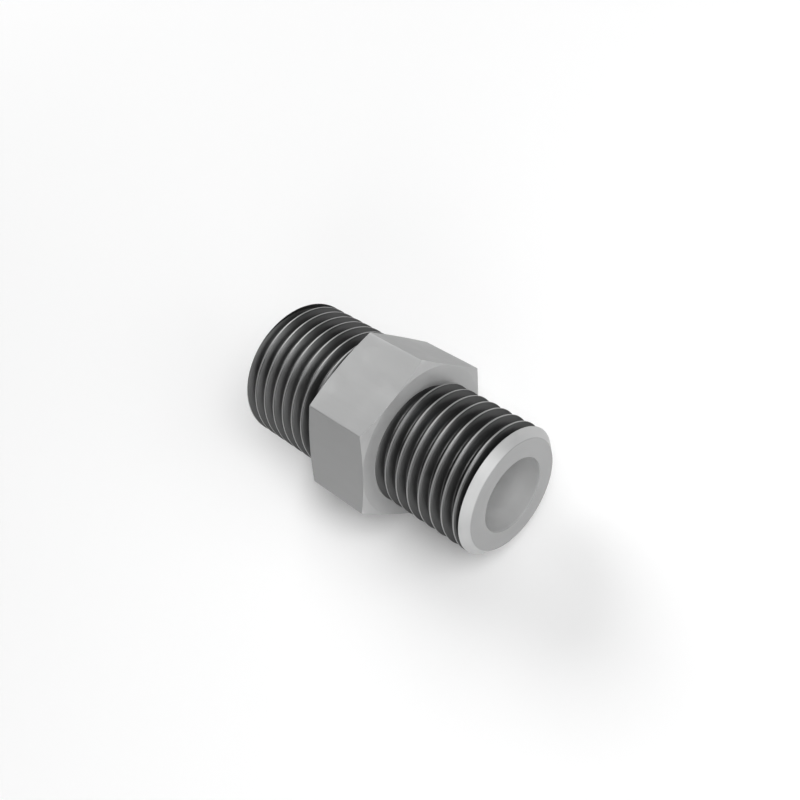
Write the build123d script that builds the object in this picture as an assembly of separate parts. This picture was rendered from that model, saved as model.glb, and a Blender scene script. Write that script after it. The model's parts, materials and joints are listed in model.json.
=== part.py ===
from build123d import *
import os
from math import ceil, radians, sqrt, tan

# Metric pipe adapter, turned in one piece from hexagon bar.
# The axis runs along X. The small thread points to +X and the large one to -X.
# The origin is on the axis in the middle of the hexagon, which lies on its lowest flat.

# Hexagon for the spanner
hex_across_flats = 17.0
hex_width = 8.0
corner_chamfer_height = 0.34
corner_chamfer_angle = 15.0

# Bore from end to end
bore_diameter = 8.1

# Small threaded end, M14 x 1.5
small_nominal = 14.0
small_pitch = 1.5
small_length = 12.0
small_ridge_start = 154.0

# Large threaded end, M16 x 1.5
large_nominal = 16.0
large_pitch = 1.5
large_length = 12.0
large_ridge_start = 63.5

# Metric thread form: 60 degree ridge, tolerance class 6g, crest turned to mid tolerance
flank_angle = 30.0
basic_crest_share = 1 / 8
minor_depth_share = 1.22687
allowance = 0.032
crest_tolerance = 0.236

# Room that the cutters have outside the finished surface
cutter_overreach = 0.1
turning_margin = 0.5

base_at_zero = (Align.CENTER, Align.CENTER, Align.MIN)


def crest_radius(nominal):
    """Outer radius of the thread, at the middle of its tolerance."""
    return (nominal - allowance - crest_tolerance / 2) / 2


def minor_radius(nominal, pitch):
    """Inner radius that the standard gives the thread, where its lead chamfer ends."""
    return (nominal - allowance - minor_depth_share * pitch) / 2


def crest_width(pitch):
    """Width of the flat on top of the ridge, wider than the basic one as the crest is lower."""
    return basic_crest_share * pitch + crest_tolerance / 2 * tan(radians(flank_angle))


def groove_turn(nominal, pitch):
    """One turn of the groove as a solid, from its sharp bottom to just outside the crest.

    The standard rounds the bottom off by about 0.2 mm. It is left sharp here, as a pointed tool
    leaves it, because each edge along the thread costs some 3,000 facets.
    """
    slope = tan(radians(flank_angle))
    half_at_crest = (pitch - crest_width(pitch)) / 2
    bottom = crest_radius(nominal) - half_at_crest / slope
    outer = crest_radius(nominal) + cutter_overreach
    half_at_outer = half_at_crest + cutter_overreach * slope
    outline = Polygon((bottom, 0), (outer, -half_at_outer), (outer, half_at_outer), align=None)
    return sweep(Plane.XZ * outline, path=Helix(pitch, pitch, bottom), is_frenet=True)


def threaded_end(nominal, pitch, length, ridge_start):
    """Threaded length that stands on the hexagon's face at z = 0.

    The ridge leaves that face at the angle ridge_start and climbs as a right-hand thread.
    The groove stops at the foot of the lead chamfer, whose rim stays whole.
    It is cut one turn after another, because the kernel fails on all turns as one cutter.
    """
    crest = crest_radius(nominal)
    minor = minor_radius(nominal, pitch)
    lead = crest - minor
    threaded = length - lead
    bar = Cylinder(crest, threaded, align=base_at_zero)
    groove = Rot(0, 0, ridge_start) * groove_turn(nominal, pitch)
    for turn in range(ceil(threaded / pitch + 1)):
        bar -= Pos(0, 0, (turn - 1 / 2) * pitch) * groove
    nose = Cone(crest, minor, lead, align=base_at_zero)
    return bar + Pos(0, 0, threaded) * nose


def hexagon():
    """Hexagon slice from z = 0 up, its corners turned off by a shallow cone at each face."""
    corner_radius = hex_across_flats / sqrt(3)
    slope = tan(radians(corner_chamfer_angle))
    rim_radius = corner_radius - corner_chamfer_height / slope
    blank_radius = corner_radius + turning_margin
    blank_edge = corner_chamfer_height + turning_margin * slope
    outline = Polygon(
        (0, 0),
        (rim_radius, 0),
        (blank_radius, blank_edge),
        (blank_radius, hex_width - blank_edge),
        (rim_radius, hex_width),
        (0, hex_width),
        align=None,
    )
    turned = revolve(Plane.XZ * outline, Axis.Z)
    prism = extrude(RegularPolygon(hex_across_flats / 2, 6, major_radius=False), hex_width)
    return prism & turned


def adapter_body():
    """The whole adapter: the hexagon, a threaded end on each side, and the bore through all."""
    small_face = Plane(origin=(hex_width / 2, 0, 0), x_dir=(0, 1, 0), z_dir=(1, 0, 0))
    large_face = Plane(origin=(-hex_width / 2, 0, 0), x_dir=(0, 1, 0), z_dir=(-1, 0, 0))
    small_end = threaded_end(small_nominal, small_pitch, small_length, small_ridge_start)
    large_end = threaded_end(large_nominal, large_pitch, large_length, large_ridge_start)
    middle = Plane.YZ.offset(-hex_width / 2) * hexagon()
    outside = middle + small_face * small_end + large_face * large_end
    bore_length = small_length + hex_width + large_length
    bore = Cylinder(bore_diameter / 2, bore_length, align=base_at_zero)
    return outside - Plane.YZ.offset(-hex_width / 2 - large_length) * bore


os.makedirs("parts", exist_ok=True)
body = adapter_body()
body.label = "adapter_body"
export_step(body, "parts/adapter_body.step")
print("adapter_body", "valid", body.is_valid, "solids", len(body.solids()), "volume", round(body.volume, 1))
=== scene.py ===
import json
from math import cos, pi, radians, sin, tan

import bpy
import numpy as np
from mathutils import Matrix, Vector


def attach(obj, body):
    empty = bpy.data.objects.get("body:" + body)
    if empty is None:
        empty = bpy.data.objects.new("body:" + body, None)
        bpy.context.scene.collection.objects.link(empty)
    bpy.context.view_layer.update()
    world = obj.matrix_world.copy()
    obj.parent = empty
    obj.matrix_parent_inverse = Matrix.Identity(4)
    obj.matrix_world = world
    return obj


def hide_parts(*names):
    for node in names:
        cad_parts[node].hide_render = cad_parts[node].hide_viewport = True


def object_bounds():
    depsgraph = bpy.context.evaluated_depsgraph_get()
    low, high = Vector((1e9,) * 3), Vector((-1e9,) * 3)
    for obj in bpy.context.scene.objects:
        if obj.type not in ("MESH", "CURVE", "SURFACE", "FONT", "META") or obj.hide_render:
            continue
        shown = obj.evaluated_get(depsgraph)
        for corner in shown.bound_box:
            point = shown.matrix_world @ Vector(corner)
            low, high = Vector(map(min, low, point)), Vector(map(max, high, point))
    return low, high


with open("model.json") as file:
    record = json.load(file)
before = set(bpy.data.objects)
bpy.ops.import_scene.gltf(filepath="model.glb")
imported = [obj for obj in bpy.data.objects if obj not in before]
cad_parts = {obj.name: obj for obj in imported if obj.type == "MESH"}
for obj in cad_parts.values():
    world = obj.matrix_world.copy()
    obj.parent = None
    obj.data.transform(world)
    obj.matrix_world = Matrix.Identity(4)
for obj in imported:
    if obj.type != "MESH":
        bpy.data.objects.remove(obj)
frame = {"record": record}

# %% [markdown]
# # A metric pipe adapter, from hexagon bar to finished looks
#
# The real thing is one piece of steel. A lathe turns the two ends of a hexagon bar round,
# cuts a thread on each, and drills the bore from end to end. The CAD model, loaded above,
# gives the exact sizes. This lesson wraps a finer skin round the same sizes and gives each
# tool's surface its own finish.
#
# First the CAD model's box is kept, and its lowest point later sets the height of the floor.
# First the CAD model's box is kept, because the skin has to stay inside it.

cad_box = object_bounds()
MM = 0.001
print("CAD box, mm:", [[round(v / MM, 3) for v in corner] for corner in cad_box])

# %% [markdown]
# ## Sizes
#
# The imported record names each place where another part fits, with its size. Its numbers could be
# typed in again here, but reading them keeps the skin on the CAD model when that changes.

# %% Read the sizes
mounts = {mount["name"]: mount for mount in frame["record"]["mounts"]}
bore_radius = mounts["bore"]["dims"]["r_mm"] * MM
half_width = mounts["small_shoulder"]["pos_m"][0]
flat_distance = mounts["hex_flat_top"]["pos_m"][2]
crest_radius = {end: mounts[end + "_thread"]["dims"]["r_mm"] * MM for end in ("small", "large")}
end_length = {end: mounts[end + "_thread"]["dims"]["length_mm"] * MM for end in ("small", "large")}
print("half width of the hexagon", half_width, "crests", crest_radius, "ends", end_length)

# %% [markdown]
# The record has each thread's crests and length, but not the shape between two crests. On a
# metric thread that is a ridge whose sides stand at 60 degrees to each other, and the sides are
# too dark in the photograph to be measured. So the depth and the flat on top are the standard's,
# at the middle of its tolerance. The pitch, the place round the bar where each ridge leaves the
# hexagon, and the chamfer on the hexagon's corners were read from the photograph.

# %% Metric thread form
pitch = 1.5 * MM
flank_angle = radians(30)
flank_slope = tan(flank_angle)
groove_depth = 0.861 * MM
crest_flat = 0.256 * MM
ridge_start = {"small": radians(154.0), "large": radians(63.5)}
corner_chamfer_height = 0.34 * MM
corner_chamfer_slope = tan(radians(15))
corner_cut = corner_chamfer_height / corner_chamfer_slope
print("groove depth, mm:", round(groove_depth / MM, 3), "crest flat, mm:", round(crest_flat / MM, 3))

# %% [markdown]
# ## The camera
#
# The photograph was taken from above the small end, with a view 45 degrees wide. The camera could
# be moved by hand until the outlines agree. Here its place and turn were worked out from the
# corners of the hexagon and the circles of the ends, which settles them all at once. It comes
# first, so that everything after it can be judged in its frame.

# %% Place the camera
camera_place = Vector((58.10, -19.29, 81.55)) * MM
camera_right = Vector((0.70711, 0.61237, -0.35355))
camera_up = Vector((-0.40825, 0.7618, 0.50299))
view_angle = radians(45)
camera_data = bpy.data.cameras.new("photo_camera")
camera_data.sensor_width = 36.0
camera_data.lens = camera_data.sensor_width / 2 / tan(view_angle / 2)
camera_data.clip_start = 1 * MM
camera = bpy.data.objects.new("photo_camera", camera_data)
axes = Matrix((camera_right, camera_up, camera_right.cross(camera_up))).transposed()
camera.matrix_world = Matrix.Translation(camera_place) @ axes.to_4x4()
bpy.context.scene.collection.objects.link(camera)
bpy.context.scene.camera = camera
print("lens, mm:", round(camera_data.lens, 3))

# %% [markdown]
# ## Arithmetic with nodes
#
# A thread follows a rule: the height of each point of its surface depends only on how far along
# the bar and how far round it the point lies. Python could work the points out and make the mesh,
# but then its sizes are fixed. Geometry Nodes work the rule out again whenever a size changes.
# Written as nodes one by one the rule is hard to read, so a Field stands for a node's output
# here, and adding or multiplying Fields adds the Math nodes.

# %% Fields
class Field:
    """A number with its own value at each point of a surface."""

    def __init__(self, tree, socket):
        self.tree = tree
        self.socket = socket

    def math(self, operation, *others):
        node = self.tree.nodes.new("ShaderNodeMath")
        node.operation = operation
        for slot, value in zip(node.inputs, (self,) + others):
            feed(self.tree, value, slot)
        return Field(self.tree, node.outputs[0])

    def __add__(self, other):
        return self.math("ADD", other)

    def __sub__(self, other):
        return self.math("SUBTRACT", other)

    def __mul__(self, other):
        return self.math("MULTIPLY", other)

    def __truediv__(self, other):
        return self.math("DIVIDE", other)

    def __rsub__(self, other):
        return (self * -1.0) + other

    def __rtruediv__(self, other):
        return self.math("POWER", -1.0) * other

    __radd__ = __add__
    __rmul__ = __mul__


def feed(tree, value, slot):
    """Puts a number into a socket, or links a Field to it."""
    if isinstance(value, Field):
        tree.links.new(value.socket, slot)
    else:
        slot.default_value = value


def add_node(tree, kind, inputs=None, **settings):
    """Adds a node, sets its options and feeds its inputs by name or number."""
    node = tree.nodes.new(kind)
    for name, value in settings.items():
        setattr(node, name, value)
    for name, value in (inputs or {}).items():
        feed(tree, value, node.inputs[name])
    return node


def out(tree, node, label=0):
    """A node's output as a Field, by its name or number."""
    return Field(tree, node.outputs[label])


# %% [markdown]
# A node group is a tool with named inputs. The next helper starts one and hands back a Field
# for each input.

# %% Start a node group
def new_tree(name, numbers, whole_numbers):
    """A Geometry Nodes tree with a float or whole number input for each name."""
    tree = bpy.data.node_groups.new(name, "GeometryNodeTree")
    for label in numbers:
        tree.interface.new_socket(label, in_out="INPUT", socket_type="NodeSocketFloat")
    for label in whole_numbers:
        tree.interface.new_socket(label, in_out="INPUT", socket_type="NodeSocketInt")
    tree.interface.new_socket("Geometry", in_out="OUTPUT", socket_type="NodeSocketGeometry")
    source = tree.nodes.new("NodeGroupInput")
    fields = {label: out(tree, source, label) for label in (*numbers, *whole_numbers)}
    return tree, fields


# %% [markdown]
# ## Columns round the bar
#
# Every surface of the adapter is a sheet wrapped round the axis, so they all share the same
# columns. Evenly spread columns would need to be very many to bend neatly round a corner of the
# hexagon. So they crowd together at the six corners, and are wider apart on the flats.

# %% Where the columns stand
SIDES = 6
SECTOR = 2 * pi / SIDES
CROWDING = 0.8


def column_angle(column, columns):
    """Angle in radians of a column, counted on past a whole turn."""
    sector = column * SIDES / columns
    wave = (sector * (2 * pi)).math("SINE") * (CROWDING / (2 * pi))
    return (sector - wave) * SECTOR


print(f"column width: {1 - CROWDING:.1f} of the mean at a corner, {1 + CROWDING:.1f} on a flat")

# %% [markdown]
# ## The rules of the surface
#
# Two rules give a radius from a place. The hexagon's is the distance to its nearest flat. A
# sharp corner could be softened afterwards with a Bevel, but then its points no longer stand in
# columns. The smooth minimum of the two flats that meet at a corner rounds it off by a hair, as
# a tumbling drum does, and keeps the columns. Where its two values are equal, it takes off a
# sixth of the distance over which it blends.

# %% Radius of the hexagon
CORNER_BLEND = 0.14 * MM
SMOOTH_SHARE = 1 / 6


def hexagon_radius(angle, flat):
    """Distance from the axis to the hexagon's skin in the direction of the angle."""
    sector = angle / SECTOR
    from_corner = (sector - sector.math("ROUND")) * SECTOR
    left = flat / (from_corner + SECTOR / 2).math("COSINE")
    right = flat / (SECTOR / 2 - from_corner).math("COSINE")
    return left.math("SMOOTH_MIN", right, CORNER_BLEND)


print("taken off each corner, mm:", round(CORNER_BLEND * SMOOTH_SHARE / MM, 3))

# %% [markdown]
# The thread's rule is a ridge with a flat top and 60 degree sides. A real one is never quite
# sharp: the tool's tip rounds the foot of the groove, and the burr on the ridge's edges is taken
# off. The smooth maximum and minimum do both in the same two nodes that cut the ridge's shape.

# %% Radius of the thread
CREST_BLEND = 0.12 * MM
FOOT_BLEND = 0.24 * MM


def thread_radius(along, angle, start, crest):
    """Distance from the axis to the thread's skin, and how deep below the crest that is."""
    turns = along / pitch - (angle - start) / (2 * pi)
    from_ridge = (turns - turns.math("ROUND")).math("ABSOLUTE") * pitch
    flank = (from_ridge - crest_flat / 2) / flank_slope
    depth = flank.math("SMOOTH_MAX", 0.0, CREST_BLEND).math("SMOOTH_MIN", groove_depth, FOOT_BLEND)
    return crest - depth, depth


print("taken off the ridge's edges, mm:", round(CREST_BLEND * SMOOTH_SHARE / MM, 3))

# %% [markdown]
# ## A strip of the skin
#
# Each surface that a lathe makes is a strip between two rings. Curves turned into a mesh would
# give such strips too, but neighbours would seldom share their points. A flat grid is made here
# with one unit to a column and to a row, so a point's own position tells which column and row it
# is in, and Set Position wraps it round the axis. The strip's number is kept on its faces: later,
# edges between two strips are made sharp, and each strip gets the finish of the tool that cut it.

# %% Grid and wrap
def grid(tree, columns, rows):
    """A flat grid, with Fields for the column and the row of each point."""
    sheet = add_node(
        tree, "GeometryNodeMeshGrid",
        {"Size X": columns, "Size Y": rows, "Vertices X": columns + 1, "Vertices Y": rows + 1},
    )
    position = out(tree, add_node(tree, "GeometryNodeInputPosition"))
    parts = add_node(tree, "ShaderNodeSeparateXYZ", {"Vector": position})
    column = (out(tree, parts, "X") + columns / 2).math("ROUND")
    row = (out(tree, parts, "Y") + rows / 2).math("ROUND")
    return out(tree, sheet, "Mesh"), column, row


def note(tree, geometry, name, value, domain):
    """The geometry with a number kept on each of its faces or points."""
    inputs = {"Geometry": geometry, "Name": name, "Value": value}
    kind = "GeometryNodeStoreNamedAttribute"
    return out(tree, add_node(tree, kind, inputs, data_type="FLOAT", domain=domain))


def wrap(tree, sheet, number, along, radius, angle, depth=0.0):
    """Moves a grid's points to their places, after noting the strip's number and the depth."""
    noted = note(tree, sheet, "strip", float(number), "FACE")
    noted = note(tree, noted, "thread_depth", depth / MM, "POINT")
    y = radius * angle.math("COSINE")
    z = radius * angle.math("SINE")
    place = add_node(tree, "ShaderNodeCombineXYZ", {"X": along, "Y": y, "Z": z})
    moved = add_node(
        tree, "GeometryNodeSetPosition", {"Geometry": noted, "Position": out(tree, place)}
    )
    return out(tree, moved)


# %% [markdown]
# One half of the adapter reaches from the middle of the hexagon to one end. It is walked along in
# one line, strip by strip: flat, corner chamfer, shoulder, thread, lead chamfer, end face, bore.
# The narrow strips at the end are its edges, broken a little as a deburring tool leaves them.

# %% A strip between two rings
ROWS = {
    "flat": 2, "corner_chamfer": 2, "shoulder": 3, "groove_end": 1, "lead_chamfer": 2,
    "rim_break": 1, "end_face": 2, "mouth_break": 1, "bore": 4,
}
STRIPS = (
    "flat", "corner_chamfer", "shoulder", "thread", "groove_end",
    "lead_chamfer", "rim_break", "end_face", "mouth_break", "bore",
)


def ring(along, radius):
    """A rule that gives the same place along and the same radius at every angle."""
    return lambda angle: (along, radius)


def lathe_strip(tree, columns, name, start, end):
    """Strip between two rings, each given by a rule from angle to (along, radius)."""
    sheet, column, row = grid(tree, columns, ROWS[name])
    angle = column_angle(column, columns)
    share = row / ROWS[name]
    along_start, radius_start = start(angle)
    along_end, radius_end = end(angle)
    along = along_start + (along_end - along_start) * share
    radius = radius_start + (radius_end - radius_start) * share
    return wrap(tree, sheet, STRIPS.index(name), along, radius, angle)


print("strips of one half:", ", ".join(STRIPS))

# %% [markdown]
# The hexagon's corners are turned off by a shallow cone, which leaves a curved edge on each flat
# and a round disc in front. A cone could be cut away with a Boolean, at the price of untidy
# faces. Here the cone is part of the rule: the further a column stands out, the earlier it ends.

# %% The hexagon's rings
def hexagon_rings(size):
    """Rules for the hexagon's middle, its end at each column, and the rim of the disc in front."""
    flat, shoulder = size["Flat Distance"], size["Half Width"]
    disc_radius = flat / cos(SECTOR / 2) - corner_cut

    def middle(angle):
        return 0.0, hexagon_radius(angle, flat)

    def chamfer(angle):
        radius = hexagon_radius(angle, flat)
        drop = (radius - disc_radius).math("MAXIMUM", 0.0) * corner_chamfer_slope
        return shoulder - drop, radius

    def disc(angle):
        return shoulder, hexagon_radius(angle, flat).math("MINIMUM", disc_radius)

    return middle, chamfer, disc


print("the chamfer reaches in from each corner, mm:", round(corner_cut / MM, 3))

# %% [markdown]
# The thread is a ribbon one pitch wide, wound round the bar so that its edges meet. A ring strip
# could show a thread too, but its rows would cross the ridge at a slant and leave steps on its
# edges. Where the ribbon would pass the end of the threaded length, its points are held back at
# the end. All points of a column that are held back land on the same spot, so welding them
# leaves a clean cut. The ribbon has some turns to spare, which all end up there.

# %% The thread's ribbon
RIBBON_TURNS = 10


def thread_strip(tree, size, threaded):
    """The thread from the shoulder to the lead chamfer's rim, and rules for its two end rings."""
    start, crest, shoulder = size["Ridge Start"], size["Crest Radius"], size["Half Width"]
    columns, rows = size["Columns"], size["Rows per Pitch"]
    sheet, column, row = grid(tree, columns * RIBBON_TURNS, rows)
    angle = column_angle(column, columns)
    wound = ((angle - start) / (2 * pi) + row / rows - 1.0) * pitch
    along = wound.math("MAXIMUM", 0.0).math("MINIMUM", threaded)
    radius, depth = thread_radius(along, angle, start, crest)
    strip = wrap(tree, sheet, STRIPS.index("thread"), along + shoulder, radius, angle, depth)

    def foot(angle):
        return shoulder, thread_radius(0.0, angle, start, crest)[0]

    def rim(angle):
        return shoulder + threaded, thread_radius(threaded, angle, start, crest)[0]

    return strip, foot, rim


turns_needed = max(end_length.values()) / pitch
print("turns of ribbon:", RIBBON_TURNS, "turns on the longest end:", round(turns_needed, 2))

# %% [markdown]
# ## Half of the adapter
#
# Both halves have the same rule with their own sizes, so one tree with named inputs makes both.
# The second is turned end for end, which keeps a right-hand thread right-handed where a mirror
# would not.

# %% The strips of one half
EDGE_BREAK = 0.05 * MM


def build_half_tree():
    """Node group for one half of the adapter, lying along +X from the middle of the hexagon."""
    tree, size = new_tree(
        "Half adapter",
        ("Flat Distance", "Half Width", "Crest Radius", "End Length", "Ridge Start", "Bore Radius"),
        ("Columns", "Rows per Pitch"),
    )
    crest, bore = size["Crest Radius"], size["Bore Radius"]
    minor = crest - groove_depth
    threaded = size["End Length"] - groove_depth
    tip = size["Half Width"] + size["End Length"]
    middle, chamfer, disc = hexagon_rings(size)
    thread, thread_foot, thread_end = thread_strip(tree, size, threaded)
    rim = ring(size["Half Width"] + threaded, crest)
    lead_end = ring(tip - EDGE_BREAK / 2, minor + EDGE_BREAK / 2)
    face_rim = ring(tip, minor - EDGE_BREAK / 2)
    mouth = ring(tip, bore + EDGE_BREAK)
    bore_start = ring(tip - EDGE_BREAK, bore)

    def strip(name, start, end):
        return lathe_strip(tree, size["Columns"], name, start, end)

    pieces = [
        strip("flat", middle, chamfer),
        strip("corner_chamfer", chamfer, disc),
        strip("shoulder", disc, thread_foot),
        thread,
        strip("groove_end", thread_end, rim),
        strip("lead_chamfer", rim, lead_end),
        strip("rim_break", lead_end, face_rim),
        strip("end_face", face_rim, mouth),
        strip("mouth_break", mouth, bore_start),
        strip("bore", bore_start, ring(0.0, bore)),
    ]
    joined = add_node(tree, "GeometryNodeJoinGeometry")
    for piece in pieces:
        tree.links.new(piece.socket, joined.inputs[0])
    target = tree.nodes.new("NodeGroupOutput")
    tree.links.new(joined.outputs[0], target.inputs["Geometry"])
    return tree


half_tree = build_half_tree()
print("nodes in the half's tree:", len(half_tree.nodes))

# %% [markdown]
# ## Finishes
#
# Before the whole is put together its materials have to exist, because the tree's last nodes
# hand them out. Each tool leaves its own surface: the drawing die leaves long lines on the flats,
# the lathe leaves rings on the turned faces, and the drill leaves rings in the bore. Photographs
# of steel could be laid over the shape, but they need unwrapping and blur when seen close. Noise
# is worked out at each point instead. The photograph shows plain grey, so all marks are faint.
#
# What the finishes have in common is put in shader node groups, so that it is written once.

# %% Start a shader group
NUMBER = "NodeSocketFloat"
VECTOR = "NodeSocketVector"


def new_shader_group(name, inputs, outputs):
    """A shader group with (label, socket type) inputs, their Fields, and its output node."""
    tree = bpy.data.node_groups.new(name, "ShaderNodeTree")
    for label, kind in inputs:
        tree.interface.new_socket(label, in_out="INPUT", socket_type=kind)
    for label, kind in outputs:
        tree.interface.new_socket(label, in_out="OUTPUT", socket_type=kind)
    source = tree.nodes.new("NodeGroupInput")
    target = tree.nodes.new("NodeGroupOutput")
    return tree, {label: out(tree, source, label) for label, kind in inputs}, target


# %% [markdown]
# The first group gives each point's place in millimetres, because all marks are finer than that
# and are counted per millimetre.

# %% Group: place on the bar
def scaled(tree, vector, factor):
    """A vector made longer or shorter by a factor."""
    inputs = {0: vector, "Scale": factor}
    return out(tree, add_node(tree, "ShaderNodeVectorMath", inputs, operation="SCALE"))


def build_place_group():
    """Object coordinates in, place in mm, distance along and distance from the axis out."""
    tree, size, target = new_shader_group(
        "Place on the bar",
        [("Object", VECTOR)],
        [("Place", VECTOR), ("Along", NUMBER), ("Radius", NUMBER)],
    )
    place = scaled(tree, size["Object"], 1 / MM)
    parts = add_node(tree, "ShaderNodeSeparateXYZ", {"Vector": place})
    x, y, z = (out(tree, parts, axis) for axis in "XYZ")
    feed(tree, place, target.inputs["Place"])
    feed(tree, x.math("ABSOLUTE"), target.inputs["Along"])
    feed(tree, (y * y + z * z).math("SQRT"), target.inputs["Radius"])
    return tree


place_group = build_place_group()
print("group:", place_group.name)

# %% [markdown]
# Tool marks are lines: they change fast across the tool's path and slowly along it. Noise with
# four dimensions does this in one node. The fourth is the distance across the marks, counted in
# lines, and the other three are the place, scaled down so that a line drifts and fades.

# %% Group: tool marks
BANDS_PER_LINE = 0.22
MARK_DETAIL = 3.0
MARK_ROUGHNESS = 0.6


def build_marks_group():
    """Height of fine lines, 0 to 1, and a broader band of the same lines for colour."""
    tree, size, target = new_shader_group(
        "Tool marks",
        [("Place", VECTOR), ("Across", NUMBER), ("Lines per mm", NUMBER), ("Drift per mm", NUMBER)],
        [("Height", NUMBER), ("Bands", NUMBER)],
    )
    drift = scaled(tree, size["Place"], size["Drift per mm"])
    for label, coarser in (("Height", 1.0), ("Bands", BANDS_PER_LINE)):
        lines = size["Across"] * size["Lines per mm"] * coarser
        noise = add_node(
            tree, "ShaderNodeTexNoise",
            {
                "Vector": drift, "W": lines, "Scale": 1.0,
                "Detail": MARK_DETAIL, "Roughness": MARK_ROUGHNESS,
            },
            noise_dimensions="4D",
        )
        feed(tree, out(tree, noise, "Fac"), target.inputs[label])
    return tree


marks_group = build_marks_group()
print("group:", marks_group.name)

# %% [markdown]
# No shop part is evenly clean. A film of cutting oil and the touch of hands leave faint clouds a
# few millimetres wide, a little darker and glossier than the bare steel. Cloudy noise, cut off
# below a level, makes patches with soft borders.

# %% Group: oil film
FILM_DETAIL = 4.0
FILM_ROUGHNESS = 0.55
FILM_DISTORTION = 0.4
FILM_STARTS = 0.42
FILM_IS_FULL = 0.68


def ramp(tree, value, start, end, low=0.0, high=1.0):
    """A soft step from low, where the value is start, to high, where it is end."""
    node = add_node(
        tree, "ShaderNodeMapRange",
        {"Value": value, "From Min": start, "From Max": end, "To Min": low, "To Max": high},
        interpolation_type="SMOOTHSTEP",
    )
    return out(tree, node, "Result")


def build_film_group():
    """Mask of faint clouds, 0 to 1, some Size mm wide, with soft borders."""
    tree, size, target = new_shader_group(
        "Oil film", [("Place", VECTOR), ("Size", NUMBER)], [("Film", NUMBER)]
    )
    noise = add_node(
        tree, "ShaderNodeTexNoise",
        {
            "Vector": size["Place"], "Scale": 1.0 / size["Size"],
            "Detail": FILM_DETAIL, "Roughness": FILM_ROUGHNESS, "Distortion": FILM_DISTORTION,
        },
    )
    cloud = ramp(tree, out(tree, noise, "Fac"), FILM_STARTS, FILM_IS_FULL)
    feed(tree, cloud, target.inputs["Film"])
    return tree


film_group = build_film_group()
print("group:", film_group.name)

# %% [markdown]
# The colour and the roughness of each finish are worked out the same way, so one more group
# holds the sum: bare steel, with lighter and darker bands along the tool marks, darker and
# smoother under the film, and lighter and smoother where an edge is rubbed bright.

# %% Group: steel tone
RED_SHARE = 0.995
BAND_MIDDLE = 0.5
BAND_ROUGHENS = 0.5
FILM_SMOOTHS = 0.18
RUBBING_SMOOTHS = 0.25


def build_tone_group():
    """Colour and roughness of steel from its own tone, the marks, the film and the rubbing."""
    tree, size, target = new_shader_group(
        "Steel tone",
        [
            ("Tone", NUMBER), ("Roughness", NUMBER), ("Bands", NUMBER), ("Band Share", NUMBER),
            ("Film", NUMBER), ("Film Share", NUMBER), ("Rubbed", NUMBER), ("Rubbed Share", NUMBER),
        ],
        [("Color", "NodeSocketColor"), ("Roughness", NUMBER)],
    )
    band, film, rubbed = size["Bands"] - BAND_MIDDLE, size["Film"], size["Rubbed"]
    change = band * size["Band Share"] - film * size["Film Share"] + rubbed * size["Rubbed Share"]
    tone = size["Tone"] * (change + 1.0)
    colour = add_node(
        tree, "ShaderNodeCombineColor", {"Red": tone * RED_SHARE, "Green": tone, "Blue": tone}
    )
    rougher = band * BAND_ROUGHENS - film * FILM_SMOOTHS - rubbed * RUBBING_SMOOTHS + 1.0
    feed(tree, out(tree, colour), target.inputs["Color"])
    feed(tree, size["Roughness"] * rougher, target.inputs["Roughness"])
    return tree


tone_group = build_tone_group()
print("group:", tone_group.name)

# %% [markdown]
# A material takes its place on the bar from the first group and hands it to the marks and the
# film. The tone group makes its colour and roughness from these, and the marks' height goes
# through a Bump node to the shader, because lines a few thousandths of a millimetre deep are too
# fine for the mesh. What differs between the finishes comes from a function for each.

# %% Put a finish together
FILM_SIZE = 3.2
SHARES = {"Band Share": 0.16, "Film Share": 0.05, "Rubbed Share": 0.08}


def steel_finish(name, looks_of, lines, drift, depth):
    """A steel material. looks_of gives its looks from the distances along and out, and the place."""
    material = bpy.data.materials.new(name)
    material.use_nodes = True
    tree = material.node_tree
    shader = tree.nodes["Principled BSDF"]

    def group(node_tree, inputs):
        node = add_node(tree, "ShaderNodeGroup", node_tree=node_tree)
        for label, value in inputs.items():
            feed(tree, value, node.inputs[label])
        return node

    coordinates = add_node(tree, "ShaderNodeTexCoord")
    bar = group(place_group, {"Object": out(tree, coordinates, "Object")})
    place = out(tree, bar, "Place")
    looks = looks_of(tree, out(tree, bar, "Along"), out(tree, bar, "Radius"), place)
    marks = group(
        marks_group,
        {"Place": place, "Across": looks["Across"], "Lines per mm": lines, "Drift per mm": drift},
    )
    film = group(film_group, {"Place": place, "Size": FILM_SIZE})
    tone = group(
        tone_group,
        {
            "Tone": looks["Tone"], "Roughness": looks["Roughness"], "Rubbed": looks["Rubbed"],
            "Bands": out(tree, marks, "Bands"), "Film": out(tree, film, "Film"), **SHARES,
        },
    )
    bump = add_node(
        tree, "ShaderNodeBump",
        {"Height": out(tree, marks, "Height"), "Distance": depth, "Strength": 1.0},
    )
    feed(tree, looks["Metallic"], shader.inputs["Metallic"])
    tree.links.new(tone.outputs["Color"], shader.inputs["Base Color"])
    tree.links.new(tone.outputs["Roughness"], shader.inputs["Roughness"])
    tree.links.new(bump.outputs["Normal"], shader.inputs["Normal"])
    print("finish:", name)
    return material


# %% [markdown]
# The hexagon's flats keep the skin of the drawn bar, with fine lines along it and corners rubbed
# bright. Fully metallic steel would mirror the lamps and the pale floor in streaks. A metallic
# share of 0.3 keeps the even grey that the photograph shows, and the other plain faces have the
# same share. Tones here are shares of the light that a surface gives back.

# %% Drawn flats
PLAIN_METALLIC = 0.3
LINE_SLANT = 0.61
RUBBED_CORNER = 0.12
hexagon_corner = flat_distance / cos(SECTOR / 2) / MM


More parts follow.
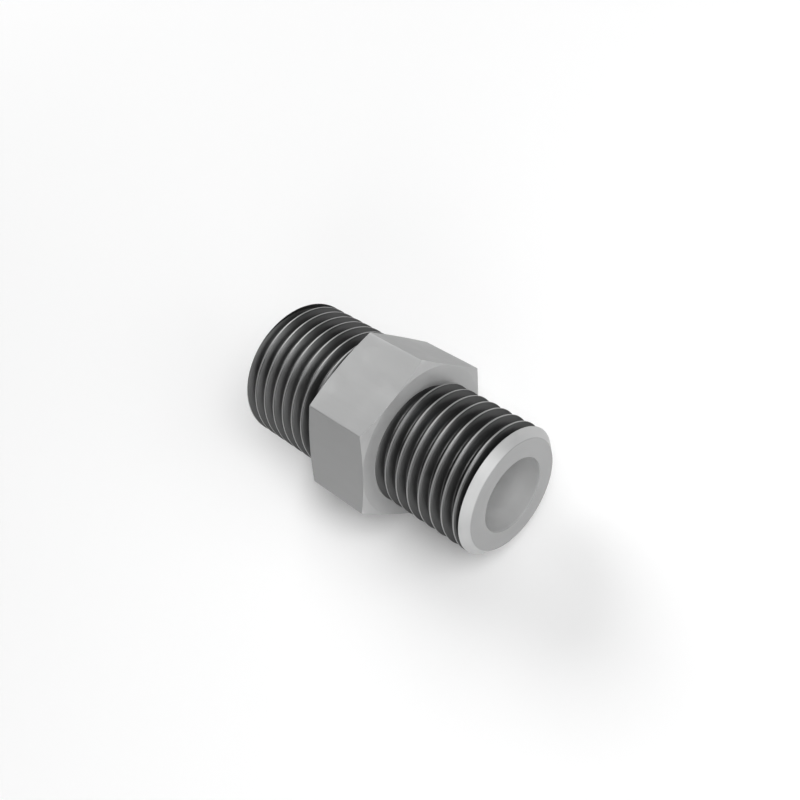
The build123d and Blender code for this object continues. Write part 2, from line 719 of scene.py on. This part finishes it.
def drawn_looks(tree, along, radius, place):
    """Lines along the bar: they change with a mix of the two directions across it."""
    parts = add_node(tree, "ShaderNodeSeparateXYZ", {"Vector": place})
    return {
        "Across": out(tree, parts, "Y") + out(tree, parts, "Z") * LINE_SLANT,
        "Rubbed": ramp(tree, radius, hexagon_corner - RUBBED_CORNER, hexagon_corner),
        "Metallic": PLAIN_METALLIC, "Tone": 0.34, "Roughness": 0.5,
    }


finishes = {
    "flat": steel_finish("drawn_flat", drawn_looks, lines=3.0, drift=0.12, depth=0.006 * MM)
}

# %% [markdown]
# The disc, the chamfers and the end faces are turned, so their lines are rings. Radius less place
# along changes across all of them, also on the cones. The disc, the lead chamfer and the end face
# each have a tone of their own, and these tones are painted light and shade. The disc is painted a
# little lighter against the shade beside the thread, the lead chamfer is painted lighter still where
# the light catches it, and the end face is painted darker as painted shade. This brings each closer
# to the photograph. Three materials could do that, but the place along tells them apart in one. Both
# ends are equally long, so one place serves.

# %% Turned faces
END_FACE = (half_width + end_length["small"]) / MM
PAINTED_LIGHT_FROM = half_width / MM + 1.0
PAINTED_LIGHT_TO = END_FACE - 1.0
PAINTED_SHADE_STARTS = END_FACE - 0.1
PAINTED_SHADE_IS_FULL = END_FACE - 0.02
# Painted light and shade: the disc's and the lead chamfer's tones are lifted, and the end face is
# darkened.
DISC_PAINTED_LIGHT_TONE = 0.365
CHAMFER_PAINTED_LIGHT_TONE = 0.41
END_FACE_PAINTED_SHADE = 0.13
RUBBED_DISC = 0.5


def turned_looks(tree, along, radius, place):
    """Rings on the turned faces, with painted light on the disc and the lead chamfer and painted
    shade on the end face.
    """
    # Painted light rises from the disc to the lead chamfer, and painted shade darkens the end face.
    tone = ramp(tree, along, PAINTED_LIGHT_FROM, PAINTED_LIGHT_TO, DISC_PAINTED_LIGHT_TONE, CHAMFER_PAINTED_LIGHT_TONE)
    return {
        "Across": radius - along,
        "Rubbed": ramp(tree, radius, hexagon_corner - RUBBED_DISC, hexagon_corner),
        "Tone": tone - ramp(tree, along, PAINTED_SHADE_STARTS, PAINTED_SHADE_IS_FULL, 0.0, END_FACE_PAINTED_SHADE),
        "Metallic": PLAIN_METALLIC, "Roughness": 0.48,
    }


finishes["turned"] = steel_finish(
    "turned_steel", turned_looks, lines=4.0, drift=0.1, depth=0.006 * MM
)

# %% [markdown]
# In the photograph the thread's crests are fine light lines, and most of what lies below them is
# nearly black. Two materials would meet in a hard line of faces. The depth that the tree noted on
# each point turns one material from pale crest to a groove darkened with painted shade, softly and
# along the ridge. A dark specular tint dims what the flanks reflect at a grazing view.

# %% Thread
CREST_ENDS = 0.002
FLANK_STARTS = 0.014
ALONG_SHARE = 0.05
GRAZING_TINT = 0.3


def thread_looks(tree, along, radius, place):
    """Light crests and flanks darkened with painted shade and more metallic, by the depth in mm
    below the crest.
    """
    attribute = add_node(tree, "ShaderNodeAttribute", attribute_name="thread_depth")
    deep = out(tree, attribute, "Fac")

    def crest_to_flank(crest, flank):
        return ramp(tree, deep, CREST_ENDS, FLANK_STARTS, crest, flank)

    return {
        "Across": deep + along * ALONG_SHARE,
        "Rubbed": crest_to_flank(crest=1.0, flank=0.0),
        "Metallic": crest_to_flank(crest=PLAIN_METALLIC, flank=0.9),
        # Painted shade: the flanks' tone of 0.09 stands in for the shade in the grooves.
        "Tone": crest_to_flank(crest=0.33, flank=0.09),
        "Roughness": crest_to_flank(crest=0.5, flank=0.38),
    }


finishes["thread"] = steel_finish(
    "thread_steel", thread_looks, lines=7.0, drift=0.1, depth=0.004 * MM
)
thread_shader = finishes["thread"].node_tree.nodes["Principled BSDF"]
thread_shader.inputs["Specular Tint"].default_value = (GRAZING_TINT, GRAZING_TINT, GRAZING_TINT, 1.0)

# %% [markdown]
# The drill leaves rings in the bore, one behind another, so they change with the place along.
# Its wall is given the lightest tone, because little light reaches it.

# %% Bore
RUBBED_MOUTH = 0.3


def bored_looks(tree, along, radius, place):
    """Rings in the bore, with its mouth rubbed bright."""
    return {
        "Across": along,
        "Rubbed": ramp(tree, along, END_FACE - RUBBED_MOUTH, END_FACE),
        "Metallic": PLAIN_METALLIC, "Tone": 0.52, "Roughness": 0.5,
    }


finishes["bore"] = steel_finish("bored_steel", bored_looks, lines=3.0, drift=0.1, depth=0.008 * MM)

# %% [markdown]
# ## The whole adapter
#
# Two halves are joined and welded. An edge between two strips has to stay sharp, and the rest
# smooth. Going by the angle at each edge would do it too, but could also catch the ridge's
# rounded edges. So the strips' numbers tell: where the two faces at an edge have different ones,
# the mean of their squares is more than their mean squared.

# %% Sharp edges and finishes
SAME_STRIP = 0.1
FINISH_OF = {
    "flat": "flat", "corner_chamfer": "turned", "shoulder": "turned", "thread": "thread",
    "groove_end": "thread", "lead_chamfer": "turned", "rim_break": "turned", "end_face": "turned",
    "mouth_break": "turned", "bore": "bore",
}


def strip_number(tree):
    """The strip's number, as kept on the faces."""
    kind = "GeometryNodeInputNamedAttribute"
    return out(tree, add_node(tree, kind, {"Name": "strip"}, data_type="FLOAT"))


def mean_of_faces(tree, value):
    """The value as the faces have it, which an edge takes as the mean of its own faces."""
    kind = "GeometryNodeFieldOnDomain"
    return out(tree, add_node(tree, kind, {"Value": value}, data_type="FLOAT", domain="FACE"))


def shade(tree, geometry, smooth, domain):
    """The geometry with smooth shading on the faces or edges that smooth chooses."""
    inputs = {"Geometry": geometry, "Shade Smooth": smooth}
    return out(tree, add_node(tree, "GeometryNodeSetShadeSmooth", inputs, domain=domain))


def smooth_within_strips(tree, geometry, strip):
    """The geometry smooth all over, but for the edges between two strips."""
    mean, mean_square = mean_of_faces(tree, strip), mean_of_faces(tree, strip * strip)
    within = (mean_square - mean * mean).math("LESS_THAN", SAME_STRIP)
    return shade(tree, shade(tree, geometry, True, "FACE"), within, "EDGE")


def dress(tree, geometry, strip):
    """The geometry with each strip's finish on it."""
    for number, name in enumerate(STRIPS):
        chosen = add_node(
            tree, "FunctionNodeCompare",
            {"A": strip, "B": float(number), "Epsilon": SAME_STRIP},
            data_type="FLOAT", operation="EQUAL",
        )
        dressed = add_node(
            tree, "GeometryNodeSetMaterial", {"Geometry": geometry, "Selection": out(tree, chosen)}
        )
        dressed.inputs["Material"].default_value = finishes[FINISH_OF[name]]
        geometry = out(tree, dressed)
    return geometry


# %% [markdown]
# The adapter's own tree holds the half's tree twice, with a set of inputs for each end. Points
# closer than a thousandth of a millimetre are one point that two strips share. Merge by Distance
# welds them, so that the skin is closed.

# %% Join, weld and dress
WELD = 1e-3 * MM


def build_adapter_tree():
    """The adapter's tree: both halves, joined, welded, shaded and dressed."""
    names = ("Flat Distance", "Half Width", "Bore Radius")
    own = ("Crest Radius", "End Length", "Ridge Start")
    counts = ("Columns", "Rows per Pitch")
    ends = ("Small", "Large")
    tree, size = new_tree(
        "Metric pipe adapter",
        names + tuple(f"{end} {label}" for end in ends for label in own),
        counts,
    )
    halves = []
    for end in ends:
        inputs = {label: size[label] for label in names + counts}
        inputs.update({label: size[f"{end} {label}"] for label in own})
        half = add_node(tree, "GeometryNodeGroup", node_tree=half_tree)
        for label, value in inputs.items():
            feed(tree, value, half.inputs[label])
        halves.append(out(tree, half))
    end_for_end = {"Geometry": halves[1], "Rotation": (0.0, pi, 0.0)}
    turned = add_node(tree, "GeometryNodeTransform", end_for_end)
    joined = add_node(tree, "GeometryNodeJoinGeometry")
    tree.links.new(halves[0].socket, joined.inputs[0])
    tree.links.new(turned.outputs[0], joined.inputs[0])
    welded = add_node(
        tree, "GeometryNodeMergeByDistance", {"Geometry": out(tree, joined), "Distance": WELD}
    )
    strip = strip_number(tree)
    shaded = smooth_within_strips(tree, out(tree, welded), strip)
    real = out(tree, add_node(tree, "GeometryNodeRealizeInstances", {"Geometry": shaded}))
    target = tree.nodes.new("NodeGroupOutput")
    tree.links.new(dress(tree, real, strip).socket, target.inputs["Geometry"])
    return tree


adapter_tree = build_adapter_tree()
print("nodes in the adapter's tree:", len(adapter_tree.nodes))

# %% [markdown]
# A tree does nothing until a modifier runs it. The modifier sits on an empty mesh here, and its
# inputs are set by their identifiers, because names may repeat. It could stay on the object, but
# an exported model keeps only plain meshes, so the result is kept as one and the modifier goes.

# %% Run the tree and keep a plain mesh
def run_tree(name, tree, values):
    """Puts the tree on an empty mesh, sets its inputs and returns the plain result."""
    carrier = bpy.data.objects.new(name, bpy.data.meshes.new(name))
    bpy.context.scene.collection.objects.link(carrier)
    modifier = carrier.modifiers.new(name, "NODES")
    modifier.node_group = tree
    identifiers = {
        item.name: item.identifier for item in tree.interface.items_tree if item.in_out == "INPUT"
    }
    for label, value in values.items():
        modifier[identifiers[label]] = value
    bpy.context.view_layer.update()
    evaluated = carrier.evaluated_get(bpy.context.evaluated_depsgraph_get())
    mesh = bpy.data.meshes.new_from_object(evaluated)
    carrier.modifiers.remove(modifier)
    mesh.name = name
    carrier.data = mesh
    return carrier


sizes = {
    "Flat Distance": flat_distance, "Half Width": half_width, "Bore Radius": bore_radius,
    "Columns": 216, "Rows per Pitch": 24,
}
for end in ("small", "large"):
    sizes[f"{end.title()} Crest Radius"] = crest_radius[end]
    sizes[f"{end.title()} End Length"] = end_length[end]
    sizes[f"{end.title()} Ridge Start"] = ridge_start[end]
adapter = run_tree("adapter", adapter_tree, sizes)
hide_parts("adapter_body")
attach(adapter, "root")
adapter.data.calc_loop_triangles()
print("adapter: points", len(adapter.data.vertices), "triangles", len(adapter.data.loop_triangles))

# %% [markdown]
# A solid's skin has no holes, so each of its edges has exactly two faces. Rather than looking for
# gaps by eye, the faces at each edge are counted.

# %% Check that the skin is closed
edges_used = np.zeros(len(adapter.data.edges), int)
loop_edges = np.zeros(len(adapter.data.loops), int)
adapter.data.loops.foreach_get("edge_index", loop_edges)
np.add.at(edges_used, loop_edges, 1)
print("edges without two faces:", int((edges_used != 2).sum()))

# %% [markdown]
# ## Floor and light
#
# The adapter lies on its lowest flat, and the photograph's background is plain white. A world
# in white would light everything evenly and hide the shape. A pale matt sheet, wider than the
# photograph's view, takes its light from the lamps instead and shows where the adapter rests.

# %% Floor
FLOOR_SIDE = 3.0
FLOOR_TONE = 0.97
FLOOR_ROUGHNESS = 0.9


def flat_sheet(name, side, height):
    """A square sheet that lies level at a height, its middle under the origin."""
    half = side / 2
    outline = [(-half, -half), (half, -half), (half, half), (-half, half)]
    mesh = bpy.data.meshes.new(name)
    mesh.from_pydata([(x, y, height) for x, y in outline], [], [(0, 1, 2, 3)])
    sheet = bpy.data.objects.new(name, mesh)
    bpy.context.scene.collection.objects.link(sheet)
    return sheet


floor = flat_sheet("floor", FLOOR_SIDE, cad_box[0][2])
floor_material = bpy.data.materials.new("pale_floor")
floor_material.use_nodes = True
floor_shader = floor_material.node_tree.nodes["Principled BSDF"]
floor_shader.inputs["Base Color"].default_value = (FLOOR_TONE, FLOOR_TONE, FLOOR_TONE, 1.0)
floor_shader.inputs["Roughness"].default_value = FLOOR_ROUGHNESS
floor.data.materials.append(floor_material)
print("floor, m wide:", FLOOR_SIDE)

# %% [markdown]
# The photograph has even tones and no hard shadow, so the light comes from several wide lamps.
# Their powers could be found by trying. Here each lamp was rendered alone, and the powers were
# then weighed against each other until the adapter's tones came close to the photograph's. The
# world adds a trace of light from all sides.

# %% Light
WORLD_STRENGTH = 0.05
LAMP_DISTANCE = 0.5
LAMP_WIDTH = 0.35
world = bpy.data.worlds.new("studio")
world.use_nodes = True
world.node_tree.nodes["Background"].inputs["Color"].default_value = (1.0, 1.0, 1.0, 1.0)
world.node_tree.nodes["Background"].inputs["Strength"].default_value = WORLD_STRENGTH
bpy.context.scene.world = world
bpy.context.scene.view_settings.view_transform = "Standard"


def soft_light(name, height, way, power):
    """A round lamp that faces the adapter from a height and a way round in degrees."""
    level = cos(radians(height))
    up = sin(radians(height))
    direction = Vector((level * cos(radians(way)), level * sin(radians(way)), up))
    data = bpy.data.lights.new(name, "AREA")
    data.shape = "DISK"
    data.size = LAMP_WIDTH
    data.energy = power
    lamp = bpy.data.objects.new(name, data)
    turn = direction.to_track_quat("Z", "Y").to_matrix().to_4x4()
    lamp.matrix_world = Matrix.Translation(direction * LAMP_DISTANCE) @ turn
    bpy.context.scene.collection.objects.link(lamp)
    print(name, "power, W:", power)


soft_light("over_light", height=58, way=0, power=1.55)
soft_light("behind_light", height=35, way=158, power=1.38)
soft_light("front_light", height=35, way=22, power=0.55)
soft_light("low_front_light", height=12, way=0, power=0.72)
soft_light("near_side_light", height=12, way=315, power=0.85)
